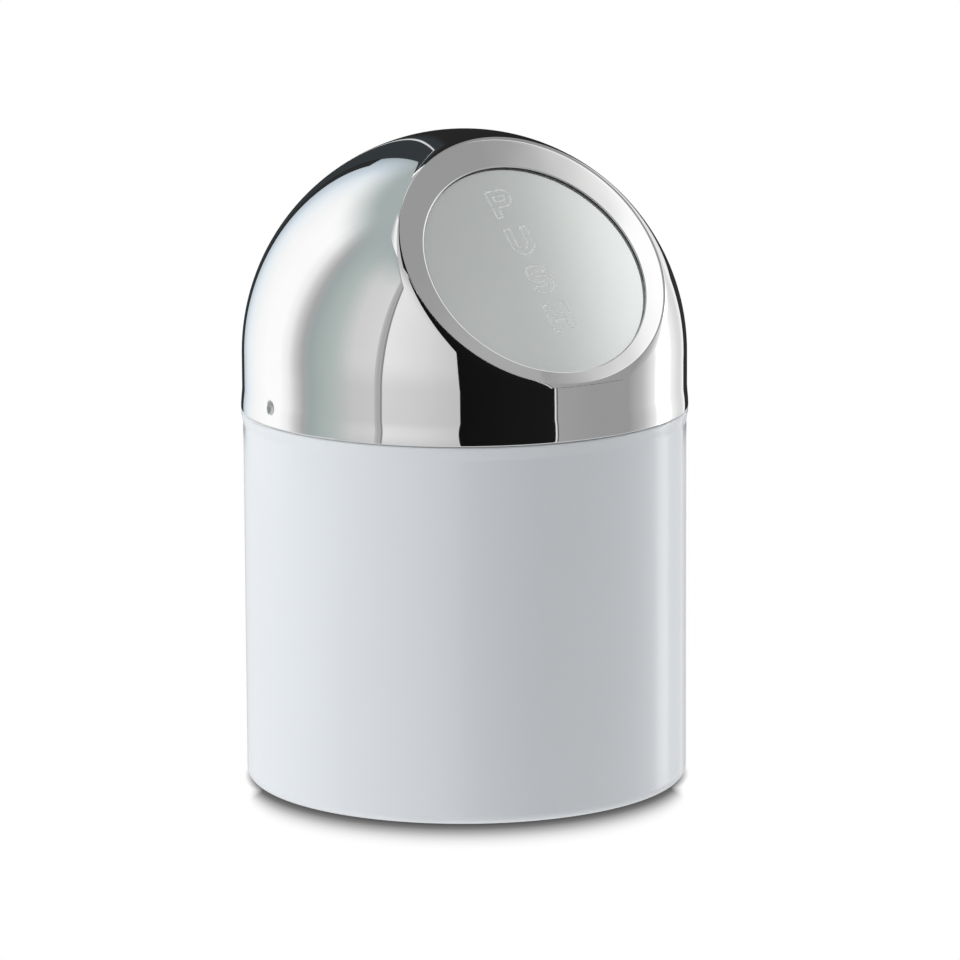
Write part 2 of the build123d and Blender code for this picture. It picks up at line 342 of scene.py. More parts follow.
def moulded_plastic(name, tone, rough, grain_scale, grain_depth):
    """Moulded plastic with a fine spark-eroded grain."""
    s = Shader(name)
    grain = s.noise(grain_scale, 3.0, 0.6)
    dark = tuple(c * 0.85 for c in tone)
    return s.finish(
        s.add(
            "BsdfPrincipled",
            Base_Color=s.ramp(grain, [(0.35, dark), (0.65, tone)]),
            Roughness=spread(s, grain, rough - 0.06, rough + 0.06),
            Normal=s.bump(grain, grain_depth),
        )
    )


def sheet_steel():
    """Bright zinc-plated bracket steel with rolling marks along X."""
    s = Shader("sheet_steel")
    marks = s.noise(900.0, 3.0, 0.6, s.stretched((0.08, 1.0, 1.0)))
    return s.finish(
        s.add(
            "BsdfPrincipled",
            Base_Color=s.ramp(marks, [(0.3, (0.55, 0.56, 0.57)), (0.7, (0.66, 0.67, 0.68))]),
            Metallic=1.0,
            Roughness=spread(s, marks, 0.26, 0.40),
            Normal=s.bump(marks, 0.00001),
        )
    )


def turned_steel():
    """Turned pin: rings round the X axis."""
    s = Shader("turned_steel")
    rings = s.noise(6000.0, 2.0, 0.5, s.stretched((1.0, 0.04, 0.04)))
    return s.finish(
        s.add(
            "BsdfPrincipled",
            Base_Color=s.ramp(rings, [(0.3, (0.60, 0.60, 0.60)), (0.7, (0.74, 0.74, 0.73))]),
            Metallic=1.0,
            Roughness=spread(s, rings, 0.18, 0.30),
            Normal=s.bump(rings, 0.000005),
        )
    )


def spring_wire():
    """Hard-drawn wire, slightly darkened by heat."""
    s = Shader("spring_wire")
    drawn = s.noise(3000.0, 2.0)
    return s.finish(
        s.add(
            "BsdfPrincipled",
            Base_Color=s.ramp(drawn, [(0.3, (0.40, 0.39, 0.37)), (0.7, (0.52, 0.51, 0.49))]),
            Metallic=1.0,
            Roughness=spread(s, drawn, 0.22, 0.34),
        )
    )


def silicone():
    """Soft translucent buffer pads."""
    s = Shader("silicone")
    cloud = s.noise(1800.0, 2.0)
    return s.finish(
        s.add(
            "BsdfPrincipled",
            Base_Color=s.ramp(cloud, [(0.3, (0.62, 0.63, 0.62)), (0.7, (0.70, 0.71, 0.70))]),
            Roughness=spread(s, cloud, 0.45, 0.6),
            Subsurface_Weight=0.3,
            Subsurface_Scale=0.0005,
        )
    )


# ---- mesh helpers ------------------------------------------------------------------
def new_object(name, points, faces, materials, face_material=None, sharp=30.0):
    """Make a smooth-shaded object; edges sharper than the given angle stay crisp."""
    mesh = bpy.data.meshes.new(name)
    mesh.from_pydata(points, [], faces)
    for material in materials:
        mesh.materials.append(material)
    if face_material is not None:
        mesh.polygons.foreach_set("material_index", face_material)
    mesh.polygons.foreach_set("use_smooth", [True] * len(mesh.polygons))
    mesh.set_sharp_from_angle(angle=radians(sharp))
    mesh.update()
    thing = bpy.data.objects.new(name, mesh)
    bpy.context.scene.collection.objects.link(thing)
    return thing


def steps(first, last, count):
    """count + 1 even steps from first to last."""
    return [first + (last - first) * i / count for i in range(count + 1)]


# ---- dome --------------------------------------------------------------------------
def flat_radial(phi):
    """Direction in the facet's plane at angle phi from +X toward its upper end."""
    return ACROSS * cos(phi) + UP_SLOPE * sin(phi)


def skirt_radius(z, inset):
    """Radius of the skirt's face, straight and then swelling to the hem."""
    share = min(1.0, max(0.0, (HEM_SWELL_Z - z) / (HEM_SWELL_Z - HEM_Z)))
    return DOME_R - inset + HEM_SWELL * share * share * (3 - 2 * share)


def dimpled(point, inset):
    """Push a point of the skirt in where a dimple is pressed."""
    ball_r = (DIMPLE_R ** 2 + DIMPLE_DEPTH ** 2) / (2 * DIMPLE_DEPTH)
    off_axis = hypot(point.y, point.z - DIMPLE_Z)
    if off_axis > DIMPLE_REACH or abs(point.x) < DOME_R / 2:
        return point
    side = 1 if point.x > 0 else -1
    reach = ball_r + inset
    punch_x = DOME_R - DIMPLE_DEPTH + ball_r - sqrt(max(0.0, reach ** 2 - off_axis ** 2))
    # A smooth minimum of the skirt and the punch; far from the rim it is one of the two.
    gap = (abs(point.x) - punch_x) / DIMPLE_EDGE
    if gap > 40:
        return Vector((side * punch_x, point.y, point.z))
    if gap < -40:
        return point
    return Vector((side * (abs(point.x) - DIMPLE_EDGE * log(1 + exp(gap))), point.y, point.z))


def facet_edge(inset):
    """The facet's edge as arcs of (radial, outward centre), radius, first and last angle."""
    if inset:
        across = sqrt((DOME_R - FACET_ROLL) ** 2 - (FACET_OUT - FACET_ROLL) ** 2)
        out = FACET_OUT - FACET_ROLL
        return [(across, out, FACET_ROLL - inset, 0, atan2(across, out))]
    tighter = SHOULDER_R - EDGE_ROLL
    out = FACET_OUT - EDGE_ROLL - tighter * cos(EDGE_TURN)
    across = sqrt((DOME_R - SHOULDER_R) ** 2 - out ** 2)
    first = (
        across + tighter * sin(EDGE_TURN), out + tighter * cos(EDGE_TURN),
        EDGE_ROLL, 0, EDGE_TURN,
    )
    return [first, (across, out, SHOULDER_R, EDGE_TURN, atan2(across, out))]


def dome_face(phi, inset, fine):
    """One face of the sheet at angle phi about the facet, from the opening to the hem's end."""
    radial = flat_radial(phi)
    dome_r = DOME_R - inset
    plane = FACET_OUT - inset
    opening = -UP_SLOPE * OPENING_DROP + NORMAL * plane
    points = []
    if inset == 0:
        rim = opening + radial * (OPENING_R + OPENING_ROUND) - NORMAL * OPENING_ROUND
        for angle in steps(pi, pi / 2, 4):
            points.append(rim + (radial * cos(angle) + NORMAL * sin(angle)) * OPENING_ROUND)
        start = OPENING_R + OPENING_ROUND
    else:
        start = OPENING_R
        points.append(opening + radial * start)
    arcs = facet_edge(inset)
    edge = NORMAL * plane + radial * arcs[0][0]
    first = opening + radial * start
    for share in (0.04, 0.5, 0.92, 1.0):
        points.append(first.lerp(edge, share))
    for across, out, roll, begin, end in arcs:
        centre = NORMAL * out + radial * across
        for angle in steps(begin, end, 16 if fine else 6)[1:]:
            points.append(centre + (NORMAL * cos(angle) + radial * sin(angle)) * roll)
    equator = atan2(NORMAL.z, -radial.z)
    for angle in steps(arcs[-1][-1], equator, 72 if fine else 30)[1:]:
        points.append((NORMAL * cos(angle) + radial * sin(angle)) * dome_r)
    outward = (NORMAL * cos(equator) + radial * sin(equator)).normalized()
    points = [DOME_CENTRE + p for p in points]
    levels = steps(SPHERE_Z, SKIRT_FINE_Z + 0.2 * MM, 3)[1:]
    levels += steps(SKIRT_FINE_Z, HEM_Z, 30 if fine else 20)
    for z in levels:
        points.append(dimpled(outward * skirt_radius(z, inset) + Vector((0, 0, z)), inset))
    hem = HEM_ROLL - inset
    hem_centre = outward * (DOME_R + HEM_SWELL - HEM_ROLL) + Vector((0, 0, HEM_Z))
    turn = asin((HEM_Z - LID_BOTTOM_Z) / hem)
    for angle in steps(0, turn, 4)[1:]:
        drop = Vector((0, 0, hem * sin(angle)))
        points.append(hem_centre + outward * hem * cos(angle) - drop)
    return points


def dome_angles():
    """Angles about the facet, closer together where the two dimples are."""
    near = 0.028                      # radians each side of a dimple's middle
    fine_steps = 28
    coarse_steps = 340
    angles = []
    for middle in (0.0, pi):
        angles += steps(middle - near, middle + near, fine_steps)[:-1]
        angles += steps(middle + near, middle + pi - near, coarse_steps)[:-1]
    return angles


POLISHED, INSIDE, PUNCHED, PRESSED = range(4)     # the dome's material slots, in order


def face_finish(row, first, second, outer_count, ring):
    """Which finish a face of the dome wears, from its row and two of its corners."""
    # The punched edge's row wears the near-black painted shade of the flap's gap.
    if row == ring - 1:
        return PUNCHED
    if row >= outer_count:
        return INSIDE
    middle = (first + second) / 2
    # Dimple faces wear the rougher pressed finish, darkened as painted shade.
    in_dimple = hypot(middle.y, middle.z - DIMPLE_Z) < DIMPLE_R and abs(middle.x) > DOME_R / 2
    return PRESSED if in_dimple else POLISHED


def make_dome(polished, inside, punched, pressed):
    """The pressed dome as one closed sheet."""
    outer_count = len(dome_face(0, 0, True))
    points = []
    for phi in dome_angles():
        points += dome_face(phi, 0, True)
        points += reversed(dome_face(phi, LID_SHEET, False))
    around = len(dome_angles())
    ring = len(points) // around
    faces = []
    finish = []
    for i in range(around):
        here = i * ring
        there = (i + 1) % around * ring
        for j in range(ring):
            k = (j + 1) % ring
            faces.append((here + j, here + k, there + k, there + j))
            corners = points[here + j], points[here + k]
            finish.append(face_finish(j, *corners, outer_count, ring))
    materials = [polished, inside, punched, pressed]
    dome = new_object("dome_shell", points, faces, materials, finish)
    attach(dome, "lid")
    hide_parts("lid_dome")


# ---- flap --------------------------------------------------------------------------
def arc(centre, radius, first, last, count=10):
    """Points along an arc, its angles in degrees."""
    return [
        (centre[0] + radius * cos(radians(a)), centre[1] + radius * sin(radians(a)))
        for a in steps(first, last, count)
    ]


def letter_p(wide, high, stroke):
    low = 0.37 * high
    outer = (high - low) / 2
    inner = outer - stroke
    middle = low + outer
    bowl = (wide - outer, middle)
    outside = [(0, 0), (stroke, 0), (stroke, low), *arc(bowl, outer, -90, 90), (0, high)]
    counter = [
        (stroke, middle - inner), *arc(bowl, inner, -90, 90), (stroke, middle + inner),
    ]
    return [outside, counter]


def letter_u(wide, high, stroke):
    outer = wide / 2
    inner = outer - stroke
    middle = (outer, outer)
    legs = [(0, high), *arc(middle, outer, 180, 360, 20), (wide, high), (wide - stroke, high)]
    return [legs + [*arc(middle, inner, 360, 180, 16), (stroke, high)]]


def letter_s(wide, high, stroke):
    """Both sides of a stroke along an S of arcs and level runs."""
    half = stroke / 2
    bend = (high - stroke) / 4
    left = half + bend
    right = wide - half - bend
    upper = high - half - bend
    lower = half + bend
    sides = []
    for side in (half, -half):
        line = arc((right, upper), bend + side, 25, 90, 6)
        line += arc((left, upper), bend + side, 90, 270, 14)
        line += arc((right, lower), bend - side, 90, -90, 14)
        line += arc((left, lower), bend - side, -90, -155, 6)
        sides.append(line)
    return [sides[0] + sides[1][::-1]]


def letter_h(wide, high, stroke):
    low = (high - stroke) / 2
    top = low + stroke
    inner = wide - stroke
    left_leg = [(stroke, high), (0, high), (0, 0), (stroke, 0), (stroke, low)]
    right_leg = [(inner, low), (inner, 0), (wide, 0), (wide, high), (inner, high), (inner, top)]
    return [left_leg + right_leg + [(stroke, top)]]


def legend_paths():
    """The letters' outlines in the flap's plane, as closed lists of (across, up the slope)."""
    paths = []
    for row, letter in enumerate((letter_p, letter_u, letter_s, letter_h)):
        left = LEGEND_MIDDLE - LETTER_WIDE / 2
        foot = LEGEND_TOP - LETTER_HIGH - row * LETTER_STEP
        for outline in letter(LETTER_WIDE, LETTER_HIGH, LETTER_STROKE):
            placed = []
            for x, y in outline:
                px = left + x
                py = foot + y
                turned_x = px * cos(LEGEND_TURN) - py * sin(LEGEND_TURN)
                turned_y = px * sin(LEGEND_TURN) + py * cos(LEGEND_TURN)
                placed.append(Vector((turned_x, turned_y)))
            paths.append(placed)
    return paths


def offset_path(path, distance):
    """The closed path moved sideways, with mitred corners."""
    moved = []
    for i, point in enumerate(path):
        before = (point - path[i - 1]).normalized()
        after = (path[(i + 1) % len(path)] - point).normalized()
        side = (Vector((-before.y, before.x)) + Vector((-after.y, after.x))).normalized()
        stretch = max(0.4, side.dot(Vector((-before.y, before.x))))
        moved.append(point + side * (distance / stretch))
    return moved


def without_repeats(path):
    """The path less the points that all but sit on the one before."""
    return [p for i, p in enumerate(path) if (p - path[i - 1]).length > REPEAT_NEAR]


WELD_NEAR = 0.002 * MM              # vertices closer than this become one
REPEAT_NEAR = 0.02 * MM             # outline points closer than this are repeats
LEVEL_NEAR = 0.005 * MM             # how level the flap's flat face is taken to be
FLAT_SHARE = 0.992                  # a loop at this share of the rim keeps the face flat there
GROOVE_LIGHT = ACROSS + UP_SLOPE * 0.4      # walls facing this way get the painted lit copy
FLAP_FINISH, GROOVE_PAINTED_LIT, GROOVE_PAINTED_SHADE = range(3)    # the flap's material slots, in order


def make_flap(finish, bright, shaded):
    """The flap's disc with the legend cut into its face as shallow V grooves."""
    mesh = NODES["flap_disc"].data.copy()
    mesh.name = "flap_face"
    mesh.materials.clear()
    mesh.materials.append(finish)
    mesh.materials.append(bright)
    mesh.materials.append(shaded)
    work = bmesh.new()
    work.from_mesh(mesh)
    for face in work.faces:
        face.material_index = FLAP_FINISH
    bmesh.ops.remove_doubles(work, verts=work.verts, dist=WELD_NEAR)

    def level(vertex):
        return abs((vertex.co - FLAP_CENTRE).dot(NORMAL)) < LEVEL_NEAR

    def turn_of(vertex):
        away = vertex.co - FLAP_CENTRE
        return atan2(away.dot(UP_SLOPE), away.dot(ACROSS))

    front = [f for f in work.faces if all(level(v) for v in f.verts)]
    bmesh.ops.delete(work, geom=front, context="FACES")
    rim = [e for e in work.edges if e.is_boundary]
    rim_vertices = sorted({v for e in rim for v in e.verts}, key=turn_of)
    flat = []
    depth = []
    edges = []

    def add_loop(points, deep):
        start = len(flat)
        count = len(points)
        flat.extend(points)
        depth.extend([deep] * count)
        edges.extend((start + i, start + (i + 1) % count) for i in range(count))

    edge_points = []
    for v in rim_vertices:
        away = v.co - FLAP_CENTRE
        edge_points.append(Vector((away.dot(ACROSS), away.dot(UP_SLOPE))))
    add_loop(edge_points, 0.0)
    add_loop([p * FLAT_SHARE for p in edge_points], 0.0)
    for path in legend_paths():
        path = without_repeats(path)
        half = GROOVE_WIDE / 2
        for side, deep in ((half, 0.0), (0.0, GROOVE_DEEP), (-half, 0.0)):
            add_loop(offset_path(path, side), deep)
    made, _, triangles, sources, _, _ = delaunay_2d_cdt(flat, edges, [], 0, 1e-9)
    placed = []
    for point, source in zip(made, sources):
        deep = depth[source[0]] if source else 0.0
        spot = FLAP_CENTRE + ACROSS * point.x + UP_SLOPE * point.y - NORMAL * deep
        placed.append(work.verts.new(spot))
    for triangle in triangles:
        face = work.faces.new([placed[i] for i in triangle])
        face.normal_update()
        if face.normal.dot(NORMAL) < 0:
            face.normal_flip()
        # Groove walls facing GROOVE_LIGHT get the painted lit copy, the others the painted shade.
        if any(depth[sources[i][0]] for i in triangle if sources[i]):
            lit = face.normal.dot(GROOVE_LIGHT) > 0
            face.material_index = GROOVE_PAINTED_LIT if lit else GROOVE_PAINTED_SHADE
    bmesh.ops.remove_doubles(work, verts=work.verts, dist=WELD_NEAR)
    for face in work.faces:
        face.smooth = True
    work.to_mesh(mesh)
    work.free()
    flap = bpy.data.objects.new("flap_face", mesh)
    bpy.context.scene.collection.objects.link(flap)
    if mesh.attributes.get("custom_normal"):
        mesh.attributes.remove(mesh.attributes["custom_normal"])
    mesh.set_sharp_from_angle(angle=radians(22))
    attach(flap, "flap")
    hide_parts("flap_disc")


# ---- springs -----------------------------------------------------------------------
LEG_STEPS = 12
STEPS_A_TURN = 30
WIRE_SIDES = 14


def tube(name, line, radius, sides, material):
    """A round bar along a list of points, closed at both ends."""
    points = []
    across = None
    for i, spot in enumerate(line):
        ahead = line[min(i + 1, len(line) - 1)] - line[max(i - 1, 0)]
        ahead.normalize()
        if across is None:
            across = ahead.orthogonal().normalized()
        across = (across - ahead * across.dot(ahead)).normalized()
        up = ahead.cross(across)
        for turn in range(sides):
            angle = 2 * pi * turn / sides
            points.append(spot + (across * cos(angle) + up * sin(angle)) * radius)
    faces = []
    for i in range(len(line) - 1):
        for j in range(sides):
            k = (j + 1) % sides
            low = i * sides
            high = low + sides
            faces.append((low + j, low + k, high + k, high + j))
    faces.append(tuple(reversed(range(sides))))
    faces.append(tuple(range(len(points) - sides, len(points))))
    return new_object(name, points, faces, [material], sharp=50.0)


def make_spring(side, name, material):
    """One torsion spring, wound from its flap leg out to its lid leg."""

    def spot(up, out, along):
        return HINGE_CENTRE + UP_SLOPE * up + NORMAL * out + ACROSS * (side * along)

    line = [
        spot(-FLAP_LEG + FLAP_LEG * i / LEG_STEPS, COIL_R, COIL_INNER_X) for i in range(LEG_STEPS)
    ]
    count = int(COIL_TURNS * STEPS_A_TURN)
    for i in range(count + 1):
        turned = COIL_TURNS * i / count
        angle = pi / 2 - 2 * pi * turned
        along = COIL_INNER_X + COIL_PITCH * turned
        line.append(spot(COIL_R * cos(angle), COIL_R * sin(angle), along))
    lean = radians(LID_LEG_LEAN)
    end_angle = pi / 2 - 2 * pi * COIL_TURNS
    outer_x = COIL_INNER_X + COIL_PITCH * COIL_TURNS
    for reach in steps(0, LID_LEG, 4)[1:]:
        up = COIL_R * cos(end_angle) + reach * cos(lean)
        out = COIL_R * sin(end_angle) + reach * sin(lean)
        line.append(spot(up, out, outer_x))
    spring = tube(name, line, WIRE_R, WIRE_SIDES, material)
    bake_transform(spring)
    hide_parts("torsion_spring_" + ("right" if side > 0 else "left"))


# ---- CAD nodes that keep their shape -----------------------------------------------
def dress(node, material):
    """Give a CAD node its one material."""
    mesh = NODES[node].data
    mesh.materials.clear()
    mesh.materials.append(material)


# ---- stage: floor ------------------------------------------------------------------
FLOOR_SIZE = 9.0
SHADOW_REACH = 0.033                # how far the soft shadow runs toward the camera's side
SHADOW_R = 0.0588                   # radius of the round edge that it runs from
SHADOW_UNDER = 0.0055               # the shadow starts this far under the base
SHADOW_STOPS = [                    # share of the reach, brightness of the floor
    (0.0, 0.13), (0.14, 0.14), (0.215, 0.19), (0.29, 0.32), (0.41, 0.515), (0.53, 0.72),
    (0.655, 0.87), (0.776, 0.96), (0.9, 1.0),
]
CONTACT_REACH = 0.002               # reach of the painted contact shadow where the foot ring stands


def floor_material():
    """White floor for the camera, darkened by the bin's painted shadow and clear from below."""
    s = Shader("floor_white")
    place = s.add("TexCoord").outputs["Object"]
    toward = s.add("Mapping", Vector=place, Rotation=(0, 0, -CAMERA_AZIMUTH)).outputs[0]
    parts = s.add("SeparateXYZ", Vector=toward)
    side = s.math("DIVIDE", parts.outputs["X"], SHADOW_R)
    chord = s.math("SUBTRACT", 1.0, s.math("MULTIPLY", side, side), clamp=True)
    edge = s.math("MULTIPLY", s.math("SQRT", chord), SHADOW_R)
    ahead = s.math("MULTIPLY", parts.outputs["Y"], -1.0)
    past = s.math("ADD", s.math("SUBTRACT", ahead, edge), SHADOW_UNDER)
    run = s.math("DIVIDE", past, SHADOW_REACH)
    cast = s.ramp(run, SHADOW_STOPS)
    outside = s.ramp(s.math("ABSOLUTE", side), [(0.92, 0.0), (1.05, 1.0)], smooth=True)
    # The shadow ends 2 cm behind the bin's middle.
    behind = s.ramp(s.math("MULTIPLY", ahead, -20.0), [(0.0, 0.0), (0.4, 1.0)], smooth=True)
    unshaded = s.math("MAXIMUM", outside, behind)
    swept = s.math("MAXIMUM", cast, unshaded)
    settings = {"samples": 12, "only_local": False}
    # Ambient occlusion darkens the floor's emission as a painted contact shadow.
    contact = s.add("AmbientOcclusion", settings, Distance=CONTACT_REACH)
    close = s.ramp(contact.outputs["AO"], [(0.15, 0.10), (0.5, 0.55), (0.95, 1.0)])
    shade = s.math("MINIMUM", swept, close)
    lit = s.add("Emission", Strength=shade)
    clear = s.add("BsdfTransparent")
    backside = s.add("NewGeometry").outputs["Backfacing"]
    mixed = s.add("MixShader", Fac=backside)
    s.tree.links.new(lit.outputs[0], mixed.inputs[1])
    s.tree.links.new(clear.outputs[0], mixed.inputs[2])
    return s.finish(mixed)


def make_floor():
    half = FLOOR_SIZE / 2
    corners = [(-half, -half, 0), (half, -half, 0), (half, half, 0), (-half, half, 0)]
    floor = new_object("floor", corners, [(0, 1, 2, 3)], [floor_material()])
    floor.visible_diffuse = False
    floor.visible_glossy = False


# ---- stage: the cards that the polished lid mirrors --------------------------------
# Angles are in degrees, seen from the dome's centre.
SKY_R = 1.15                        # distance of the cards from the dome's centre
SKY_FOOT = -20.0                    # foot of the cards, below the level that the bin mirrors
SKY_TOP = 90.0
SKY_GREY = (0.40, 0.455, 0.45)      # overhead, away from the lamps
FLAG_FOOT = -12.0                   # foot of the flags behind, which the canister mustn't mirror
FLAG_TOP = 58.0                     # top of the flags in front
CANOPY = (60, 80)                   # elevations of the canopies
STRIP_AZIMUTHS = (-76.0, -71.8)     # foot of the dark strip down the lid's left side
STRIP_LEAN = 0.085                  # how it and the wall beside it lean
CARD_AZIMUTH_STEP = 2               # size of the cards' faces, in degrees
CARD_ELEVATION_STEP = 3


def sky_point(azimuth, elevation, radius):
    """A place seen from the dome's centre at the given angles, in degrees."""
    level = radius * cos(radians(elevation))
    high = radius * sin(radians(elevation))
    return DOME_CENTRE + Vector(
        (level * sin(radians(azimuth)), -level * cos(radians(azimuth)), high)
    )


def plain(tone):
    """The stops of a card that has one tone from side to side."""
    return [(0.0, tone), (1.0, tone)]


def card_material(name, tones, fades):
    """Light with (share of the width, tone) across the card and other tones faded in up it."""
    s = Shader(name)
    tone = s.ramp(s.add("Attribute", {"attribute_name": "across"}).outputs["Fac"], tones)
    up = s.add("Attribute", {"attribute_name": "up"}).outputs["Fac"]
    for other, shares in fades:
        colour = other if isinstance(other, tuple) else (other, other, other)
        mix = s.add("Mix", {"data_type": "RGBA"})
        s.tree.links.new(s.ramp(up, shares, smooth=True), mix.inputs[0])
        s.tree.links.new(tone, mix.inputs[6])
        mix.inputs[7].default_value = (*colour, 1.0)
        tone = mix.outputs[2]
    return s.finish(s.add("Emission", Color=tone))


def make_card(name, place, columns, rows, tones, fades=()):
    """A card, seen only in reflections and by its light; place(across, up) gives its points."""
    points = []
    across = []
    up = []
    for share in steps(0, 1, columns):
        for height in steps(0, 1, rows):
            points.append(place(share, height))
            across.append(share)
            up.append(height)
    faces = []
    for i in range(columns):
        for j in range(rows):
            k = i * (rows + 1) + j
            faces.append((k, k + rows + 1, k + rows + 2, k + 1))
    card = new_object(name, points, faces, [card_material(name, tones, fades)])
    card.data.attributes.new("across", "FLOAT", "POINT").data.foreach_set("value", across)
    card.data.attributes.new("up", "FLOAT", "POINT").data.foreach_set("value", up)
    card.visible_camera = False
    card.visible_shadow = False
    return card


def sky_card(name, azimuths, elevations, tones, *fades, lean=0.0, nearer=0.0):
    """A patch of the sky between two azimuths, which may lean by degrees per degree up.

    Each fade is a tone and its (elevation, share) stops.  A nearer card shows where two
    overlap.
    """
    first, last = azimuths
    low, high = elevations
    shares = [
        (tone, [((e - low) / (high - low), share) for e, share in stops]) for tone, stops in fades
    ]

    def place(across, up):
        elevation = low + (high - low) * up
        azimuth = first + (last - first) * across + lean * elevation
        return sky_point(azimuth, elevation, SKY_R - nearer)

    columns = max(2, int(abs(last - first) / CARD_AZIMUTH_STEP))
    rows = max(2, int((high - low) / CARD_ELEVATION_STEP))
    return make_card(name, place, columns, rows, tones, shares)


# The key lamp: where the facet's middle looks, then its sides in degrees from there.
KEY_AZIMUTH = 57.0
KEY_ELEVATION = 53.0
KEY_SLANT = radians(44.5)           # lean of the soft edge
KEY_FROM = -0.8
KEY_TO = 24.0
KEY_LOW = -14.0
KEY_HIGH = 26.0
KEY_R = SKY_R - 0.03
KEY_EDGE = [                        # degrees from the middle's line, tone
    (-0.8, 0.34), (-0.3, 0.38), (0.0, 0.44), (0.6, 0.62), (1.2, 0.82), (1.7, 0.98), (2.1, 1.08),
]


def key_softbox():
    """The lamp that the facet mirrors, with a soft slanting edge across the facet's middle."""
    middle = (sky_point(KEY_AZIMUTH, KEY_ELEVATION, 1.0) - DOME_CENTRE).normalized()
    east = Vector((0, 0, 1)).cross(middle).normalized()
    north = middle.cross(east)
    outward = east * cos(KEY_SLANT) - north * sin(KEY_SLANT)
    along = east * sin(KEY_SLANT) + north * cos(KEY_SLANT)

    def place(across, up):
        s = radians(KEY_FROM + (KEY_TO - KEY_FROM) * across)
        t = radians(KEY_LOW + (KEY_HIGH - KEY_LOW) * up)
        return DOME_CENTRE + (middle + outward * s + along * t).normalized() * KEY_R

    tones = [((s - KEY_FROM) / (KEY_TO - KEY_FROM), tone) for s, tone in KEY_EDGE]
    make_card("key_softbox", place, 16, 12, tones)


def light_world():
    """Even white light from all round, for the floor and the diffuse surfaces."""
    world = bpy.data.worlds.new("studio")
    bpy.context.scene.world = world
    world.use_nodes = True
    background = world.node_tree.nodes["Background"]
    background.inputs["Color"].default_value = (1, 1, 1, 1)
    background.inputs["Strength"].default_value = 1.0


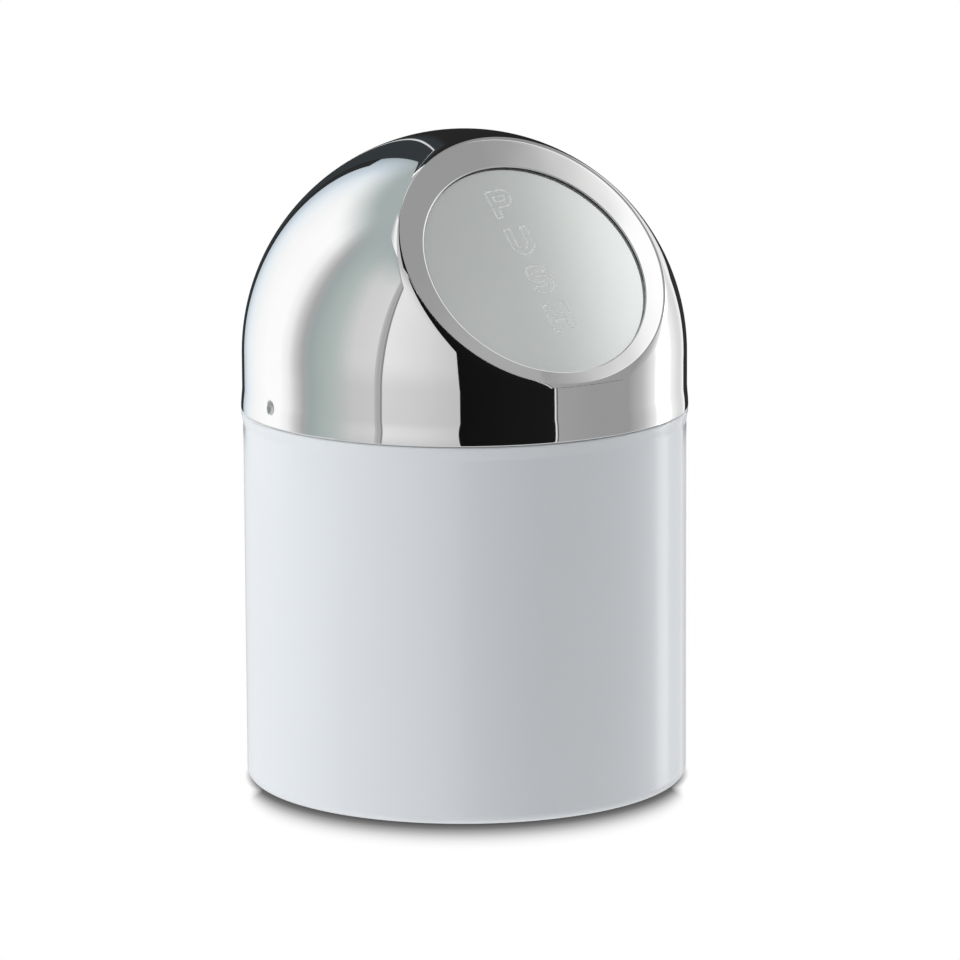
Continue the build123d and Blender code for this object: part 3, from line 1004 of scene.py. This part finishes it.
def place_cards():
    """The sky of cards: left side, front, right side, back, and then overhead and below."""
    whole = (SKY_FOOT, SKY_TOP)
    front = (SKY_FOOT, FLAG_TOP)
    haze = (SKY_GREY, [(37.0, 0.0), (59.0, 1.0)])
    left_haze = (SKY_GREY, [(34.0, 0.0), (56.0, 1.0)])
    dusk = (0.50, [(-12.0, 0.45), (4.0, 0.0)])

    sky_card(
        "softbox_left", (-192, -100), whole,
        [
            (0.0, (0.38, 0.44, 0.48)), (0.04, (0.52, 0.59, 0.65)), (0.10, (0.68, 0.75, 0.82)),
            (0.13, (0.78, 0.85, 0.89)), (0.174, (0.86, 0.91, 0.96)), (0.217, (0.92, 0.95, 0.97)),
            (0.315, 1.0), (0.45, 1.05), (0.58, 1.05), (0.66, 0.90), (0.72, 0.62), (0.78, 0.42),
            (0.84, (0.36, 0.41, 0.41)), (1.0, (0.46, 0.52, 0.50)),
        ],
        haze, (0.78, [(-12.8, 1.0), (-11.4, 0.0)]),
    )
    sky_card(
        "grey_wall_left", (-100, -66), whole,
        [(0.0, (0.46, 0.52, 0.50)), (0.35, 0.66), (0.8, 0.71), (1.0, 0.71)],
        left_haze, dusk,
    )
    sky_card(
        "edge_strip", STRIP_AZIMUTHS, (SKY_FOOT, 60),
        [(0.0, 0.54), (0.45, 0.40), (0.7, 0.44), (0.8, 0.27), (1.0, 0.27)],
        lean=STRIP_LEAN, nearer=0.01,
    )
    sky_card(
        "pale_wall", (-72.5, -30), whole,
        [(0.0, 0.84), (0.5, 0.73), (0.9, 0.61), (1.0, 0.61)],
        (0.55, [(44.0, 0.0), (60.0, 1.0)]), dusk, lean=STRIP_LEAN, nearer=0.003,
    )

    sky_card(
        "black_flag_front", (-34, 15), front, [(0.0, 0.006), (1.0, 0.010)],
        lean=-0.08, nearer=0.006,
    )
    sky_card(
        "flag_edge", (14.6, 16.8), front,
        [
            (0.0, 0.01), (0.12, 0.01), (0.2, 0.75), (0.52, 0.75), (0.62, 0.08), (0.85, 0.12),
            (1.0, 0.36),
        ],
        nearer=0.008,
    )
    sky_card("dark_wing", (15, 40), (47, 60), plain(0.010), nearer=0.008)
    sky_card(
        "grey_wall_right", (14, 62), (SKY_FOOT, 40), [(0.0, 0.36), (0.5, 0.33), (1.0, 0.33)],
    )
    sky_card("grey_high_right", (14, 62), (40, 62), plain(0.42), (0.335, [(53.0, 0.0), (55.5, 1.0)]))

    sky_card(
        "softbox_right", (60, 123), (SKY_FOOT, 13.2),
        [
            (0.0, 0.33), (0.17, 0.50), (0.246, 0.66), (0.29, 0.77), (0.34, 0.88), (0.385, 1.2),
            (0.43, 2.0), (0.57, 2.0), (0.62, 1.05), (0.66, 0.93), (0.72, 0.86), (0.785, 0.77),
            (0.877, 0.73), (0.94, 0.86), (0.97, 0.98), (1.0, 0.98),
        ],
        nearer=0.004,
    )
    sky_card("grey_right", (62, 141), (12.0, 76), [(0.0, 0.33), (1.0, 0.30)])
    sky_card("low_flag_right", (123, 141), (FLAG_FOOT, -0.4), plain(0.03))
    sky_card("pale_right", (121, 141), (-0.4, 12), [(0.0, 0.9), (1.0, 0.7)])

    slate = (0.036, 0.042, 0.046)
    sky_card(
        "black_flag_back", (141, 168), (FLAG_FOOT, 72),
        [(0.0, 0.018), (0.45, 0.022), (0.52, slate), (1.0, slate)],
    )
    sky_card(
        "flag_lip", (167.5, 171.6), (FLAG_FOOT, 31), [(0.0, 0.022), (1.0, 0.030)], nearer=0.004,
    )
    sky_card("back_slit", (154.1, 154.7), (FLAG_FOOT, 72), plain(0.7), lean=0.09, nearer=0.004)
    sky_card("low_grey", (123, 168), (SKY_FOOT, FLAG_FOOT), [(0.0, 0.55), (1.0, 0.62)])

    sky_card("dark_canopy", (-48, 46), CANOPY, plain(0.012), nearer=0.008)
    sky_card(
        "bright_canopy", (-100, -48), CANOPY, [(0.0, 0.5), (0.4, 0.95), (1.0, 0.95)],
        nearer=0.002,
    )
    sky_card("zenith", (-180, 180), (76, SKY_TOP), plain(SKY_GREY), nearer=-0.01)
    ground = sky_card("ground", (-180, 180), (-90, SKY_FOOT), plain(0.62))
    ground.visible_diffuse = False
    key_softbox()


FILL_R = 1.0                        # inside the cards, so that no card hides the lamps
FILL_SIZE = 0.6
FILL_LAMPS = [                      # name, azimuth, elevation, watts
    ("overhead_fill", 0, 70, 3.2),
    ("left_fill", -100, 12, 3.1),
    ("right_fill", 92, 8, 3.8),
]


def place_fill_lamps():
    """Lamps that no reflection shows, which only light the coat."""
    for name, azimuth, elevation, power in FILL_LAMPS:
        data = bpy.data.lights.new(name, "AREA")
        data.shape = "SQUARE"
        data.size = FILL_SIZE
        data.energy = power
        lamp = bpy.data.objects.new(name, data)
        bpy.context.scene.collection.objects.link(lamp)
        lamp.location = sky_point(azimuth, elevation, FILL_R)
        lamp.rotation_euler = (lamp.location - DOME_CENTRE).to_track_quat("Z", "Y").to_euler()
        lamp.visible_glossy = False
        lamp.visible_camera = False


# ---- build -------------------------------------------------------------------------
place_camera()
make_floor()
light_world()
place_cards()
place_fill_lamps()
make_dome(mirror_steel(), drawn_steel(), punched_edge_painted_shade(), pressed_steel_and_painted_shade())
# The grooves' two etched copies are painted light and painted shade.
make_flap(
    satin_steel(), etched_steel("groove_painted_lit", 1.0), etched_steel("groove_painted_shade", 0.88),
)
wire = spring_wire()
make_spring(1, "spring_right", wire)
make_spring(-1, "spring_left", wire)
dress("body_tube", white_lacquer())
dress("body_base", coated_base())
dress("foot_ring", moulded_plastic("foot_rubber", (0.045, 0.045, 0.047), 0.55, 1500.0, 0.00002))
dress("lid_collar", moulded_plastic("collar_plastic", (0.10, 0.10, 0.105), 0.42, 1100.0, 0.00002))
plated = sheet_steel()
dress("hinge_bracket", plated)
dress("hinge_leaf", plated)
dress("hinge_pin", turned_steel())
dress("pin_clip", wire)
dress("flap_buffer_pads", silicone())

bpy.context.scene.view_settings.view_transform = "Standard"
